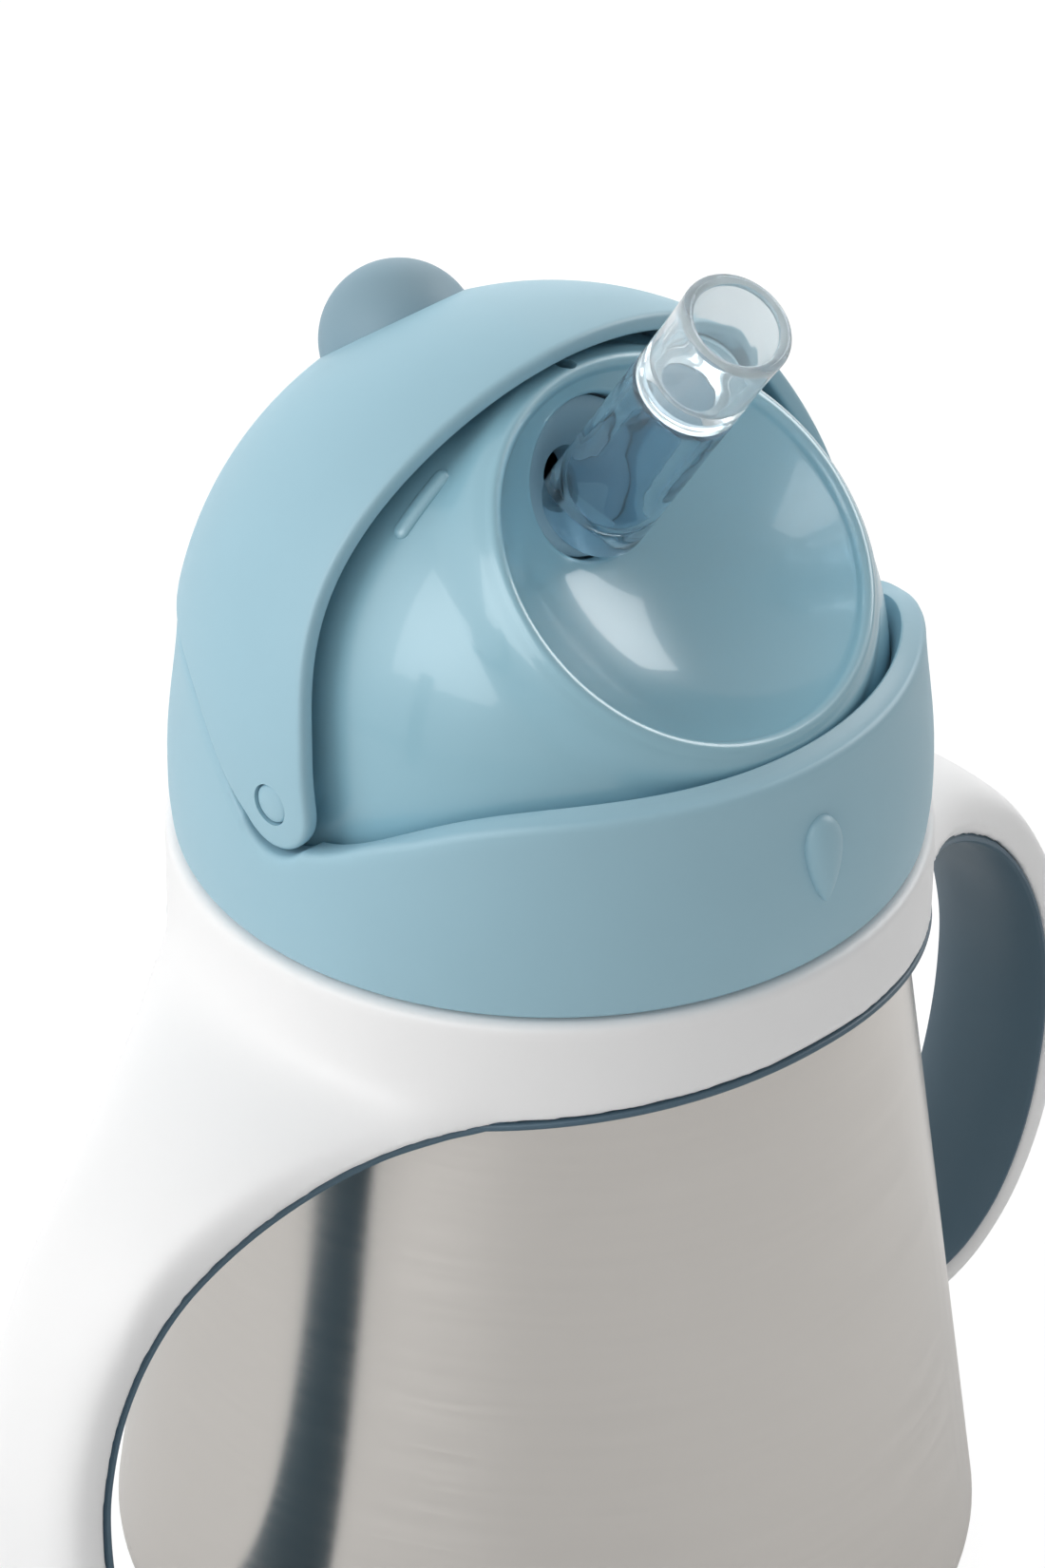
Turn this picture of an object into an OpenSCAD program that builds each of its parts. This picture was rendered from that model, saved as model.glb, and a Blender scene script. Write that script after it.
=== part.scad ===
// Straw training cup: double-wall steel bottle, handle ring, screw lid with a flip cover
// that folds a soft spout into a scoop. Origin at the middle of the base, +Z up,
// spout towards -Y, cover hinge and handles along X. Millimetres.

/* [Bottle] */
// Height of the steel body up to the handle ring
body_h = 74; // [60:1:92]
// Angle by which the steel wall widens downward
body_taper = 7.4; // [5:0.1:9]
// Thickness of each steel wall
steel_t = 0.6; // [0.4:0.1:0.8]
// Space between the two steel walls
vacuum_gap = 2.2; // [1.5:0.1:3]
// Radius of the rounded foot
foot_r = 5; // [4:0.5:6.5]
// Width of the shoulder around the neck
shoulder_w = 3.2; // [2.6:0.1:4.5]
// Height of the shoulder above the lower edge of the handle ring
shoulder_rise = 5.6; // [4.5:0.1:7]
// Height of the neck above the shoulder
neck_h = 12.4; // [11:0.1:14]

/* [Handle ring and handles] */
// How far the ring stands out past the lid
ring_proud = 0.7; // [0:0.1:2]
// Thickness of the ring's flange on the shoulder
ring_flange_t = 2.6; // [1.6:0.1:3]
// Thickness of the soft lining under the ring
lining_t = 0.7; // [0.5:0.1:1.5]
// How far the middle of a handle reaches out past the ring
handle_reach = 27.6; // [20:0.5:36]
// Width of a handle along its grip
grip_w = 14.5; // [12:0.5:20]
// Width of a handle where it meets the ring
root_w = 40; // [30:1:46]
// Thickness of a handle along its grip
handle_t = 5.5; // [4.5:0.1:8]
// Thickness of a handle where it meets the ring
root_t = 9.4; // [7:0.1:10]
// Thickness of the soft inner face of a handle
grip_t = 2; // [1:0.1:2.5]
// Height of a handle's free end above the table
handle_end_h = 7.5; // [6:0.5:20]
// Space between a handle's free end and the steel wall
handle_end_gap = 2.4; // [1:0.1:12]

/* [Lid] */
// Radius of the lid collar
lid_r = 34; // [30:0.5:42]
// Space between the lid and the handle ring
lid_gap = 0.3; // [0.2:0.05:1]
// Height of the cover hinge above the collar's lower edge
hinge_rise = 15.2; // [14:0.1:20]
// Height of the collar's rim above the hinge
rim_rise = 5.7; // [4.5:0.1:7]
// Depth of the collar's rim below that at the hinge
rim_drop = 9.3; // [8:0.1:9.8]
// Wall of the collar
collar_t = 2.5; // [2:0.1:3.5]
// Wall of the dome
dome_t = 1.6; // [1.2:0.1:2]
// Wall of the threaded skirt
skirt_t = 1.4; // [1.2:0.1:2]
// Radial depth of a thread lug
thread_depth = 0.9; // [0.7:0.1:1.2]
// Radial space between lug and wall
thread_gap = 0.4; // [0.3:0.05:0.6]
// Rise of the lid in one whole turn
thread_lead = 12; // [9:0.5:13]
// Angle covered by one lug
lug_arc = 55; // [40:1:58]
// Thickness of the lid gasket
gasket_t = 1.2; // [0.8:0.1:2]

/* [Scoop and spout] */
// Forward tilt of the scoop
scoop_tilt = 41; // [36:1:46]
// Radius of the scoop's rim
scoop_rim_r = 18.2; // [16:0.1:20]
// Radius of the scoop's hollow
scoop_r = 22; // [20.5:0.1:24]
// Forward tilt of the spout hole
hole_tilt = 70; // [66:1:72]
// Radius of the spout hole
hole_r = 7.3; // [7:0.1:8]
// Distance of the spout's root below the middle of the hole
spout_drop = 3; // [2:0.1:3.2]
// Forward tilt of the spout
spout_tilt = 33.6; // [30:0.1:38]
// Outer radius of the spout
spout_r = 5; // [4:0.1:5.5]
// Wall of the spout
spout_wall = 1.2; // [0.8:0.1:1.5]
// Length of the spout above its root
spout_len = 31.1; // [28:0.1:34]
// Length of the spout's tip above its step
tip_len = 10; // [8:0.5:12]

/* [Cover] */
// Space between the dome and the cover
cover_gap = 0.8; // [0.8:0.05:1.2]
// Wall of the cover
cover_t = 1.7; // [1.4:0.1:2.2]
// Angle from open to closed
cover_travel = 76; // [74:0.5:78]
// Space between the cover's edge and the collar's rim
parting_gap = 0.35; // [0.25:0.05:0.5]
// Radius of the cover's arm around the pin
arm_r = 4.5; // [4:0.1:5]
// Radius of the hinge pin
pin_r = 1.8; // [1.4:0.1:2.2]
// Radius of the soft ball
knob_r = 7.2; // [5:0.1:8]
// Backward tilt of the soft ball
knob_tilt = 38.6; // [32:0.1:44]

/* [Straw] */
// Outer radius of the straw tube
straw_r = 3.7; // [3.3:0.1:4.2]
// Wall of the straw tube
straw_wall = 1.1; // [0.8:0.1:1.2]
// Height at which the weighted end starts to swing
swing_h = 50; // [40:1:56]
// Outer radius of the weighted end
weight_r = 7.2; // [6.5:0.1:9]
// Height of the weighted end's lower face
weight_h0 = 9; // [8:0.5:14]
// Height of the weighted end's upper face
weight_h1 = 25; // [23:0.5:30]

/* [Hidden] */
$fn = 96;

steel = [0.73, 0.72, 0.70];
white = [0.95, 0.95, 0.95];
slate = [0.40, 0.49, 0.55];
satin_blue = [0.63, 0.78, 0.83];
gloss_blue = [0.56, 0.72, 0.78];
clear = [0.85, 0.92, 0.95];

fit = 0.05;        // running fit of pins and press seats
slip = 0.1;        // slip fit of parts that are pushed over each other
bury = 0.25;       // how far a lug's root sits inside its wall

// Radii, from the lid inwards
dome_r = lid_r - collar_t - 2 * slip;
collar_in = lid_r - collar_t;
skirt_in = dome_r - skirt_t;
neck_r = skirt_in - thread_gap - thread_depth;
body_top_r = neck_r + shoulder_w;
ring_r = lid_r + ring_proud;
ring_bore = body_top_r + lining_t;
cover_in = dome_r + cover_gap;
cover_r = cover_in + cover_t;

// Heights
shoulder_z = body_h + shoulder_rise;
mouth_z = shoulder_z + neck_h;
ring_top = shoulder_z + ring_flange_t;
collar_z = ring_top + lid_gap;
hinge_z = collar_z + hinge_rise;
seam_z = foot_r * (1 + sin(body_taper));
base_recess = 1.5;
skirt_z = collar_z + 1.5;
ledge_z = mouth_z + gasket_t + 3 * slip;
ledge_t = 1.5;

// Thread: lugs on the neck hold lugs on the skirt from above
lug_z = mouth_z - 3.8;
lug_drop = 1.3;
lug_tip_h = 0.45;
lug_root_h = 0.75;
lug_slope = atan(thread_lead / (2 * PI * neck_r));

function body_r(z) = body_top_r + (body_h - z) * tan(body_taper);
function arc(c, r, a0, a1, n = 8) =
    [for (i = [0:n]) c + r * [cos(a0 + (a1 - a0) * i / n), sin(a0 + (a1 - a0) * i / n)]];
// A tilt of 0 points up, a positive tilt leans towards -Y; values are [y, z] from the hinge
function lean(a) = [-sin(a), cos(a)];
function spin(p, a) = [p[0] * cos(a) - p[1] * sin(a), p[0] * sin(a) + p[1] * cos(a)];

// Scoop, spout hole and spout in the middle plane, as [y, z] from the hinge
scoop_rim_d = sqrt(dome_r * dome_r - scoop_rim_r * scoop_rim_r);
scoop_c = (scoop_rim_d + sqrt(scoop_r * scoop_r - scoop_rim_r * scoop_rim_r)) * lean(scoop_tilt);
hole_c = scoop_c - scoop_r * lean(hole_tilt);
spout_root = hole_c + spout_drop * [-cos(hole_tilt), -sin(hole_tilt)];
elbow_len = 8;
elbow = spout_root - elbow_len * lean(spout_tilt);
straw_y = elbow[0];
spout_neck_r = 3.1;
spout_bore = 1.9;
spout_start = 1.5;
step_s = spout_len - tip_len;
stem_r = 4.2;
stem_z = hinge_z + 3;
stem_bore = 2.6;
flange_r = hole_r + 1;
vent_y = -1.5;
vent_r = 0.75;
vent_tilt = 50;

// Collar rim and cover edges in the side view, as [y, z] from the hinge
front_ease = 13.5;
rear_ease = 8.8;
function rim(y) = rim_rise - rim_drop * exp(-pow((abs(y) - 1.5) / (y < 0 ? front_ease : rear_ease), 2));
side_far = lid_r * 2;
notch_r = arm_r + parting_gap + slip;
knob_stem_r = 4;
knob_d = cover_r - 2.2;

// Handle centre line in the XZ plane: two Bezier spans, out and down, then in to the free end
function bez(p, t) = pow(1 - t, 3) * p[0] + 3 * pow(1 - t, 2) * t * p[1]
    + 3 * (1 - t) * t * t * p[2] + t * t * t * p[3];
function bez_dir(p, t) = pow(1 - t, 2) * (p[1] - p[0]) + 2 * (1 - t) * t * (p[2] - p[1])
    + t * t * (p[3] - p[2]);
handle_x = ring_r + handle_reach;
handle_top = body_h + 1;
handle_mid = handle_end_h + (handle_top - handle_end_h) * 0.42;
handle_end_x = body_r(handle_end_h) + handle_end_gap + handle_t / 2;
span_out = [[ring_bore - 0.5, handle_top], [ring_r + 9.3, handle_top - 2],
            [handle_x, handle_mid + 15], [handle_x, handle_mid]];
span_in = [[handle_x, handle_mid], [handle_x, handle_mid - 15],
           [handle_end_x + 10.5, handle_end_h - 2], [handle_end_x, handle_end_h]];
function line_at(u) = u < 1 ? bez(span_out, u) : bez(span_in, u - 1);
function dir_at(u) = u < 1 ? bez_dir(span_out, u) : bez_dir(span_in, u - 1);
function out_at(u) = [-dir_at(u)[1], dir_at(u)[0]] / norm(dir_at(u));
function thick_at(u) = handle_t + (root_t - handle_t) * pow(max(0, 1 - u / 0.5), 2);
handle_steps = 28;
function width_at(x) = grip_w + (root_w - grip_w)
    * pow(min(1, max(0, (handle_x - x) / (handle_x - ring_r + 1.7))), 2.8);

// Turns a [y, z] outline from the hinge into a prism along X
module side_prism(length) {
    translate([0, 0, hinge_z]) rotate([90, 0, 90])
        linear_extrude(height = length, center = true) children();
}

// Places a solid at [y, z] from the hinge, its Z axis leaning forward
module at_hinge(p, tilt = 0) {
    translate([0, p[0], hinge_z + p[1]]) rotate([tilt, 0, 0]) children();
}

module lugs(r, z, profile) {
    for (i = [0:2])
        translate([0, 0, z]) rotate([0, 0, 120 * i]) rotate([lug_slope, 0, 0])
            rotate([0, 0, -lug_arc / 2]) rotate_extrude(angle = lug_arc)
                translate([r, 0]) polygon(profile);
}

module bottle_shell() {
    corner_r = 1.2;
    top_r = body_r(shoulder_z - corner_r);
    outer = concat([[body_r(seam_z), seam_z]],
                   arc([top_r - corner_r, shoulder_z - corner_r], corner_r, body_taper, 90, 4),
                   [[neck_r, shoulder_z], [neck_r, mouth_z - steel_t]]);
    inner = [[neck_r - steel_t, mouth_z - steel_t], [neck_r - steel_t, shoulder_z - steel_t],
             [top_r - corner_r, shoulder_z - steel_t], [top_r - steel_t, shoulder_z - corner_r],
             [body_r(seam_z) - steel_t, seam_z]];
    color(steel) union() {
        rotate_extrude() polygon(concat(outer, inner));
        lugs(neck_r, lug_z, [[-bury, -lug_root_h], [thread_depth, -lug_tip_h],
                             [thread_depth, lug_tip_h], [-bury, lug_root_h]]);
    }
}

module bottle_liner() {
    gap = steel_t + vacuum_gap;
    corner_r = 4;
    floor_z = base_recess + steel_t + vacuum_gap;
    tube_r = neck_r - steel_t - 3 * slip;
    low_z = floor_z + corner_r;
    low_r = body_r(low_z) - gap;
    outer = concat([[0, floor_z]],
                   arc([low_r - corner_r, low_z], corner_r, -90, 0, 6),
                   [[body_r(body_h) - gap, body_h], [tube_r, body_h + 3], [tube_r, mouth_z - steel_t],
                    [neck_r, mouth_z - steel_t], [neck_r, mouth_z]]);
    inner = concat([[tube_r - steel_t, mouth_z], [tube_r - steel_t, body_h + 3],
                    [body_r(body_h) - gap - steel_t, body_h]],
                   arc([low_r - corner_r, low_z], corner_r - steel_t, 0, -90, 6),
                   [[0, floor_z + steel_t]]);
    color(steel) rotate_extrude() polygon(concat(outer, inner));
}

module bottle_base() {
    foot_x = body_r(seam_z) - foot_r * cos(body_taper);
    rest_in = foot_x - 5;
    slope = base_recess;
    outer = concat([[0, base_recess], [rest_in - slope, base_recess], [rest_in, 0]],
                   arc([foot_x, foot_r], foot_r, -90, body_taper, 10));
    inner = concat([[body_r(seam_z) - steel_t, seam_z]],
                   arc([foot_x, foot_r], foot_r - steel_t, body_taper, -90, 10),
                   [[rest_in + steel_t / 2, steel_t], [rest_in - slope + steel_t / 2, base_recess + steel_t],
                    [0, base_recess + steel_t]]);
    color(steel) rotate_extrude() polygon(concat(outer, inner));
}

// The steel body grown by a gap, to cut what fits around it
module body_envelope(gap) {
    rotate_extrude() polygon([[0, -1], [body_r(-1) + gap, -1], [body_r(shoulder_z) + gap, shoulder_z],
                              [0, shoulder_z]]);
}

// One layer of the right handle, between two distances from its centre line
module handle_layer(from_share, to_share, from_extra, to_extra) {
    us = [for (i = [0:handle_steps]) 2 * i / handle_steps];
    a = [for (u = us) line_at(u) + out_at(u) * (thick_at(u) * from_share + from_extra)];
    b = [for (i = [handle_steps:-1:0]) line_at(us[i])
         + out_at(us[i]) * (thick_at(us[i]) * to_share + to_extra)];
    intersection() {
        rotate([90, 0, 0]) linear_extrude(height = root_w + 2, center = true) polygon(concat(a, b));
        handle_plan();
    }
}

// Plan of the handle: wide at the ring and narrowing outwards, and one width below
module handle_plan() {
    x0 = ring_r - 1.7;
    xs = [for (i = [0:10]) x0 + (handle_x - x0) * i / 10];
    half = [for (x = xs) [x, width_at(x) / 2]];
    back = [for (i = [10:-1:0]) [half[i][0], -half[i][1]]];
    far = handle_x + handle_t * 2;
    translate([0, 0, handle_mid]) linear_extrude(height = body_h)
        polygon(concat([[x0 - 9, root_w / 2]], half, [[far, grip_w / 2], [far, -grip_w / 2]],
                       back, [[x0 - 9, -root_w / 2]]));
    translate([x0 - 9, -grip_w / 2, -1]) cube([far - x0 + 9, grip_w, handle_mid + 1]);
}

module handle_shell() { handle_layer(-0.5, 0.5, grip_t, 0); }

module handle_face() { handle_layer(-0.5, -0.5, 0, grip_t); }

module handle_frame() {
    color(white) difference() {
        union() {
            translate([0, 0, body_h]) cylinder(r = ring_r, h = ring_top - body_h);
            handle_shell();
            mirror([1, 0, 0]) handle_shell();
        }
        translate([0, 0, body_h - 12]) cylinder(r = ring_bore, h = shoulder_z - body_h + 12);
        body_envelope(2 * slip);
        cylinder(r = neck_r + 4 * slip, h = ring_top + 1);
        translate([0, 0, ring_top]) cylinder(r = handle_x, h = 5);
    }
}

module ring_lining() {
    low = body_h - lining_t;
    color(slate) difference() {
        union() {
            difference() {
                translate([0, 0, low]) cylinder(r = ring_r - slip, h = lining_t);
                for (side = [0, 1]) mirror([side, 0, 0])
                    translate([ring_bore - 12, -root_w / 2 - slip, low - 1])
                        cube([24, root_w + 2 * slip, lining_t + 2]);
            }
            translate([0, 0, low]) cylinder(r = ring_bore - fit, h = shoulder_rise);
        }
        translate([0, 0, low - 1]) cylinder(r = body_top_r + 2 * slip, h = shoulder_rise + 2);
    }
}

module grip() {
    difference() {
        handle_face();
        translate([0, 0, -1]) cylinder(r = ring_r + 2 * slip, h = body_h * 2);
        body_envelope(2 * slip);
    }
}

module right_grip() { color(slate) grip(); }

module left_grip() { color(slate) mirror([1, 0, 0]) grip(); }

module lid_gasket() {
    color(clear) translate([0, 0, mouth_z + 1.5 * slip]) difference() {
        cylinder(r = skirt_in - 6 * slip, h = gasket_t);
        translate([0, 0, -1]) cylinder(r = neck_r - 1.7, h = gasket_t + 2);
    }
}

module lid_collar() {
    edge_r = 0.8;
    bulge = 0.3;
    top = hinge_z + rim_rise;
    mid = (collar_z + top) / 2;
    profile = concat([[collar_in, collar_z]],
                     arc([lid_r - edge_r, collar_z + edge_r], edge_r, -90, 0, 4),
                     [[lid_r + bulge * 0.7, collar_z + (mid - collar_z) * 0.5], [lid_r + bulge, mid],
                      [lid_r + bulge * 0.7, mid + (top - mid) * 0.6]],
                     arc([lid_r - edge_r, top - edge_r], edge_r, 10, 90, 4),
                     [[collar_in, top]]);
    color(satin_blue) union() {
        difference() {
            rotate_extrude() polygon(profile);
            side_prism(side_far * 2) rim_cut();
            side_prism(side_far * 2) circle(r = notch_r);
        }
        level_mark();
    }
}

// Everything above the collar's rim in the side view
module rim_cut() {
    ys = [for (i = [-20:20]) i / 20 * (lid_r + 3)];
    polygon(concat([for (y = ys) [y, rim(y)]],
                   [[side_far, rim_rise], [side_far, side_far], [-side_far, side_far],
                    [-side_far, rim_rise]]));
}

// Raised drop on the front of the collar
module level_mark() {
    mark_r = 1.05;
    mark_h = 6.6;
    difference() {
        translate([0, 0, collar_z + 11.2]) rotate([90, 0, 0]) linear_extrude(height = lid_r + 0.8) union() {
            circle(r = mark_r);
            polygon([[-mark_r, 0], [mark_r, 0], [0.2, mark_r - mark_h], [-0.2, mark_r - mark_h]]);
        }
        cylinder(r = lid_r - 0.6, h = hinge_z * 2);
    }
}

module lid_dome() {
    lip_r = 0.5;
    rib_r = 0.4;
    rib_y = -1.8;
    boss_x = dome_r - 3.1;
    ceiling = 2 * dome_r;
    color(gloss_blue) difference() {
        union() {
            intersection() {
                difference() {
                    at_hinge([0, 0]) sphere(r = dome_r);
                    at_hinge([0, 0]) sphere(r = dome_r - dome_t);
                }
                translate([0, 0, hinge_z]) cylinder(r = ceiling, h = ceiling);
            }
            intersection() {
                at_hinge([0, 0]) sphere(r = dome_r);
                at_hinge(scoop_c) sphere(r = scoop_r + dome_t);
            }
            at_hinge(scoop_rim_d * lean(scoop_tilt), scoop_tilt) rotate_extrude()
                translate([scoop_rim_r, 0]) circle(r = lip_r, $fn = 24);
            for (side = [-1, 1]) translate([0, rib_y, hinge_z]) rotate([90, 0, 0])
                rotate([0, 0, side > 0 ? 47.5 : 118.5]) rotate_extrude(angle = 14)
                    translate([sqrt(dome_r * dome_r - rib_y * rib_y), 0]) circle(r = rib_r, $fn = 24);
            translate([0, 0, skirt_z]) difference() {
                cylinder(r = dome_r, h = hinge_z - skirt_z);
                translate([0, 0, -1]) cylinder(r = skirt_in, h = hinge_z);
            }
            translate([0, 0, ledge_z]) difference() {
                cylinder(r = skirt_in + bury, h = ledge_t);
                translate([0, 0, -1]) cylinder(r = neck_r - 2.2, h = hinge_z);
            }
            lugs(skirt_in, lug_z - lug_drop, [[bury, lug_root_h], [-thread_depth, lug_tip_h],
                                              [-thread_depth, -lug_tip_h], [bury, -lug_root_h]]);
            for (side = [0, 1]) mirror([side, 0, 0]) intersection() {
                translate([boss_x, 0, hinge_z]) rotate([0, 90, 0]) cylinder(r = pin_r + 1.6, h = 2.2);
                translate([0, 0, ledge_z]) cylinder(r = ceiling, h = ceiling);
            }
        }
        at_hinge(scoop_c) sphere(r = scoop_r);
        at_hinge(hole_c, hole_tilt) translate([0, 0, -6]) cylinder(r = hole_r, h = 12);
        at_hinge([vent_y, dome_r], vent_tilt) translate([0, 0, -4]) cylinder(r = vent_r, h = 5);
        for (side = [0, 1]) mirror([side, 0, 0]) translate([boss_x + 0.6, 0, hinge_z])
            rotate([0, 90, 0]) cylinder(r = pin_r + 0.02, h = lid_r);
    }
}

module vent_valve() {
    valve_r = 1.8;
    valve_t = 0.8;
    color(clear) at_hinge([valve_r, dome_r - dome_t - 0.4 - valve_t]) difference() {
        cylinder(r = valve_r, h = valve_t);
        translate([0, 0, -1]) cylinder(r = 0.2, h = valve_t + 2);
    }
}

module spout_base() {
    stem_top = hinge_z + elbow[1];
    color(clear) difference() {
        union() {
            at_hinge(elbow, spout_tilt) cylinder(r = spout_neck_r, h = elbow_len + spout_start);
            at_hinge(hole_c, hole_tilt) translate([0, 0, -2.35]) cylinder(r = flange_r, h = 1.6);
            at_hinge(elbow) sphere(r = stem_r);
            translate([0, straw_y, stem_z]) cylinder(r = stem_r, h = stem_top - stem_z);
        }
        at_hinge(elbow, spout_tilt) cylinder(r = spout_bore, h = elbow_len + spout_start + 1);
        at_hinge(elbow) sphere(r = spout_bore + 0.4);
        translate([0, straw_y, stem_z - 1]) cylinder(r = stem_bore, h = stem_top - stem_z + 1);
    }
}

module straw_connector() {
    tube_r = stem_bore - fit;
    color(white) difference() {
        union() {
            translate([0, straw_y, stem_z - 9]) cylinder(r = tube_r, h = 15.5);
            translate([0, straw_y, stem_z - 1.8]) cylinder(r = stem_r, h = 1.6);
        }
        translate([0, straw_y, stem_z - 10]) cylinder(r = tube_r - 0.8, h = 18);
    }
}

module straw_tube_upper() {
    top = stem_z - 2;
    color(clear) difference() {
        translate([0, straw_y, swing_h]) cylinder(r = straw_r, h = top - swing_h);
        translate([0, straw_y, swing_h - 1]) cylinder(r = straw_r - straw_wall, h = top - swing_h + 2);
        translate([0, straw_y, swing_h]) sphere(r = straw_r + 3 * slip);
    }
}

module straw_tube_lower() {
    low = weight_h1 - 4;
    color(clear) difference() {
        union() {
            translate([0, straw_y, low]) cylinder(r = straw_r, h = swing_h - low);
            translate([0, straw_y, swing_h]) sphere(r = straw_r);
        }
        translate([0, straw_y, low - 1]) cylinder(r = straw_r - straw_wall, h = swing_h);
    }
}

module weight_shell() {
    wall = 1.3;
    color(clear) difference() {
        translate([0, straw_y, 0]) rotate_extrude() polygon(concat(
            [[0, weight_h0]],
            arc([weight_r - 3, weight_h0 + 3], 3, -90, 0, 5),
            arc([weight_r - 3, weight_h1 - 3], 3, 0, 90, 5),
            [[0, weight_h1]]));
        translate([0, straw_y, weight_h0 + wall])
            cylinder(r = weight_r - wall, h = weight_h1 - weight_h0 - wall - 4);
        translate([0, straw_y, weight_h1 - 5]) cylinder(r = straw_r + fit, h = 6);
        translate([0, straw_y, weight_h0 - 1]) cylinder(r = straw_r - straw_wall, h = 4);
    }
}

module weight_core() {
    wall = 1.3;
    color(steel) translate([0, straw_y, weight_h0 + wall + slip]) difference() {
        cylinder(r = weight_r - wall - slip, h = weight_h1 - weight_h0 - wall - 4 - 2 * slip);
        translate([0, 0, -1]) cylinder(r = straw_r - straw_wall, h = weight_h1);
    }
}

module pin() {
    inner_x = dome_r - 2.5;
    translate([inner_x, 0, hinge_z]) rotate([0, 90, 0]) cylinder(r = pin_r, h = cover_r - 0.2 - inner_x);
}

module pivot_pin_right() { color(satin_blue) pin(); }

module pivot_pin_left() { color(satin_blue) mirror([1, 0, 0]) pin(); }

// Side view of the cover: front edge, arm and rear edge
module cover_side() {
    front = [for (i = [12:-1:0]) let (y = -6 - i / 12 * (lid_r - 4)) spin([y, rim(y) + parting_gap], -cover_travel)];
    rear = [for (i = [0:14]) let (y = 3 + i / 14 * lid_r) [y, rim(y) + parting_gap]];
    polygon(concat([[front[0][0], side_far]], front, [[-arm_r + 0.5, 1.6], [0, 0]], rear,
                   [[side_far, rim_rise + parting_gap], [side_far, side_far]]));
    circle(r = arm_r);
}

module cover() {
    color(satin_blue) difference() {
        intersection() {
            difference() {
                at_hinge([0, 0]) sphere(r = cover_r);
                at_hinge([0, 0]) sphere(r = cover_in);
            }
            side_prism(side_far * 2) cover_side();
        }
        translate([-lid_r * 2, 0, hinge_z]) rotate([0, 90, 0]) cylinder(r = pin_r + fit, h = lid_r * 4);
        at_hinge([0, 0], -knob_tilt) cylinder(r = knob_stem_r + fit, h = lid_r * 2);
    }
}

module cover_knob() {
    color(slate) union() {
        difference() {
            at_hinge(knob_d * lean(-knob_tilt)) sphere(r = knob_r);
            at_hinge([0, 0]) sphere(r = cover_r);
        }
        difference() {
            at_hinge([0, 0], -knob_tilt) cylinder(r = knob_stem_r, h = cover_r + 1.5);
            at_hinge([0, 0]) sphere(r = cover_in + fit);
        }
    }
}

module spout_lower() {
    inner = spout_r - spout_wall;
    base_round = 2.8;
    top = step_s - spout_start - slip;
    color(clear) at_hinge(spout_root, spout_tilt) translate([0, 0, spout_start + slip]) rotate_extrude()
        polygon(concat([[spout_bore, 0]],
                       arc([spout_r - base_round, base_round], base_round, -90, 0, 6),
                       [[spout_r, top], [inner, top], [inner, base_round], [spout_bore, base_round - 1]]));
}

module spout_tip() {
    round_r = 0.5;
    inner = spout_r - spout_wall;
    top = tip_len;
    color(clear) at_hinge(spout_root, spout_tilt) translate([0, 0, step_s]) rotate_extrude()
        polygon(concat([[inner, 0], [spout_r, 0]],
                       arc([spout_r - round_r, top - round_r], round_r, 0, 90, 4),
                       arc([inner + round_r, top - round_r], round_r, 90, 180, 4)));
}

bottle_shell();
bottle_liner();
bottle_base();
handle_frame();
ring_lining();
left_grip();
right_grip();
lid_gasket();
lid_collar();
lid_dome();
vent_valve();
spout_base();
straw_connector();
straw_tube_upper();
pivot_pin_left();
pivot_pin_right();
cover();
cover_knob();
spout_lower();
spout_tip();
straw_tube_lower();
weight_shell();
weight_core();
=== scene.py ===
# %% [markdown]
# # Sippy cup
# An insulated steel training cup with a white handle ring, a screw lid with a flip cover and a
# soft straw spout. Most visible pieces are surfaces computed with numpy from a short formula; the
# steel body and the pieces inside keep their CAD shape.
# The frame gives the bodies and joints; everything here is in the frame's own coordinates.

# %% Start
import math

import bpy
import numpy as np
from mathutils import Matrix, Vector


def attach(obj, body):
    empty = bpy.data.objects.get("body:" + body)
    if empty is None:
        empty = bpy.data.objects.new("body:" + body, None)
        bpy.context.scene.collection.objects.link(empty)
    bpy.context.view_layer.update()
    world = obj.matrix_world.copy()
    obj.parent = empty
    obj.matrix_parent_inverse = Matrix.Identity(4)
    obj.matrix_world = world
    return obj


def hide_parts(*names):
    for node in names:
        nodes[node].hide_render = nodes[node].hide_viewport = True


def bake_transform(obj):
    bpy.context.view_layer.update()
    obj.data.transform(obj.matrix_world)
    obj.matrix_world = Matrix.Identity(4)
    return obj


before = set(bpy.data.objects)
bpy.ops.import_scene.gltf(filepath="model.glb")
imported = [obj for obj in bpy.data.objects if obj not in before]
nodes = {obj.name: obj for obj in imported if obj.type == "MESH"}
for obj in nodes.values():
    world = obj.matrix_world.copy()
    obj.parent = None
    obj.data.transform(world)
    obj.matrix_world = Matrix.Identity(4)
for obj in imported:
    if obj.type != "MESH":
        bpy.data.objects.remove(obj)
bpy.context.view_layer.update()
print("nodes", len(nodes))

# %% [markdown]
# ## Sizes
# Millimetres, the same named sizes as the part's source. The middle of the hinge is the centre of
# the dome and of the cover, so most things on the lid are placed from it.

# %% Sizes
HINGE_Z = 97.7
COLLAR_Z = 82.5
BODY_H = 74.0
RING_TOP = 82.2
LID_R = 34.0
COLLAR_IN = 31.5
RING_R = 34.7
RING_BORE = 32.5
DOME_R = 31.3
DOME_SKIN = 30.1
DOME_T = 1.6
COVER_R = 33.8
COVER_IN = 32.1
SCOOP_R = 22.0
SCOOP_RIM_R = 18.2
HOLE_R = 7.3
VENT_R = 0.75
ARM_R = 4.5
NOTCH_R = 4.95
PIN_R = 1.8
PIN_HOLE_R = 1.95
TRAVEL = 76.0
# the collar's wall leans in by COLLAR_LEAN towards its rim, and the rim slopes down outwards
COLLAR_SWELL = 0.3
COLLAR_LEAN = 1.2
RIM_SLOPE = 0.8
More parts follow.
